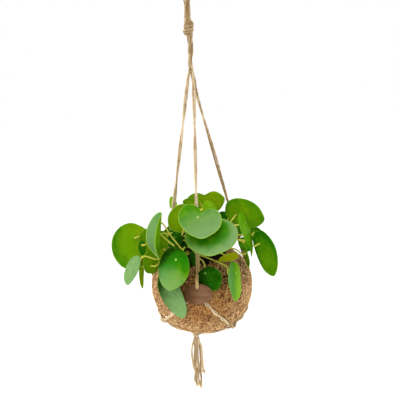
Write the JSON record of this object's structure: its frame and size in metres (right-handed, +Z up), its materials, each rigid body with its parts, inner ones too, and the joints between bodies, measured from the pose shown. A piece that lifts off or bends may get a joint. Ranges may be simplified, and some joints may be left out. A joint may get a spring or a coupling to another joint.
{
  "type": "hanging plant ball",
  "caption": "Hanging house plant with round glossy leaves on thin stalks, growing from a pressed coconut-fibre ball held in a knotted jute net with an eye and a tassel.",
  "frame": {"origin": "the top inside of the hanging eye, where a hook carries it", "axes": "+Z up, -Y towards the viewer, +X to the viewer's right"},
  "size_m": [0.241, 0.2211, 0.627],
  "materials": {
    "coir": "rough pressed fibre",
    "soil": "crumbly and dark",
    "jute": "twisted, slightly hairy",
    "leaf": "glossy above, paler and matte below",
    "stem": "matte bark",
    "tag": "thin, matte"
  },
  "bodies": {
    "root": {"arm_front": "jute", "arm_left": "jute", "arm_right": "jute", "bottom_knot": "jute", "coir_ball": "coir", "hang_loop": "jute", "leaf_back_arm": "leaf", "leaf_back_corner": "leaf", "leaf_back_hanging": "leaf", "leaf_back_left": "leaf", "leaf_back_low": "leaf", "leaf_back_right": "leaf", "leaf_back_side": "leaf", "leaf_back_top": "leaf", "leaf_back_under": "leaf", "leaf_far_left": "leaf", "leaf_front_left": "leaf", "leaf_front_low": "leaf", "leaf_front_narrow": "leaf", "leaf_front_round": "leaf", "leaf_heart": "leaf", "leaf_heart_behind": "leaf", "leaf_heart_below": "leaf", "leaf_left_blade": "leaf", "leaf_left_dark": "leaf", "leaf_left_small": "leaf", "leaf_left_tall": "leaf", "leaf_left_under": "leaf", "leaf_low_pale": "leaf", "leaf_olive": "leaf", "leaf_right_behind": "leaf", "leaf_right_bright": "leaf", "leaf_right_dark": "leaf", "leaf_right_low": "leaf", "leaf_right_narrow": "leaf", "leaf_right_top": "leaf", "leaf_rim_small": "leaf", "leaf_top": "leaf", "neck": "jute", "net_front_to_left": "jute", "net_front_to_right": "jute", "net_left_to_back": "jute", "net_left_to_left": "jute", "net_right_to_back": "jute", "net_right_to_right": "jute", "net_under_back": "jute", "net_under_left": "jute", "net_under_right": "jute", "soil": "soil", "stem": "stem", "tag": "tag", "tassel_strand_1": "jute", "tassel_strand_2": "jute", "tassel_strand_3": "jute", "tassel_strand_4": "jute", "tassel_strand_5": "jute", "tassel_strand_6": "jute", "top_knot": "jute"}
  },
  "joints": []
}
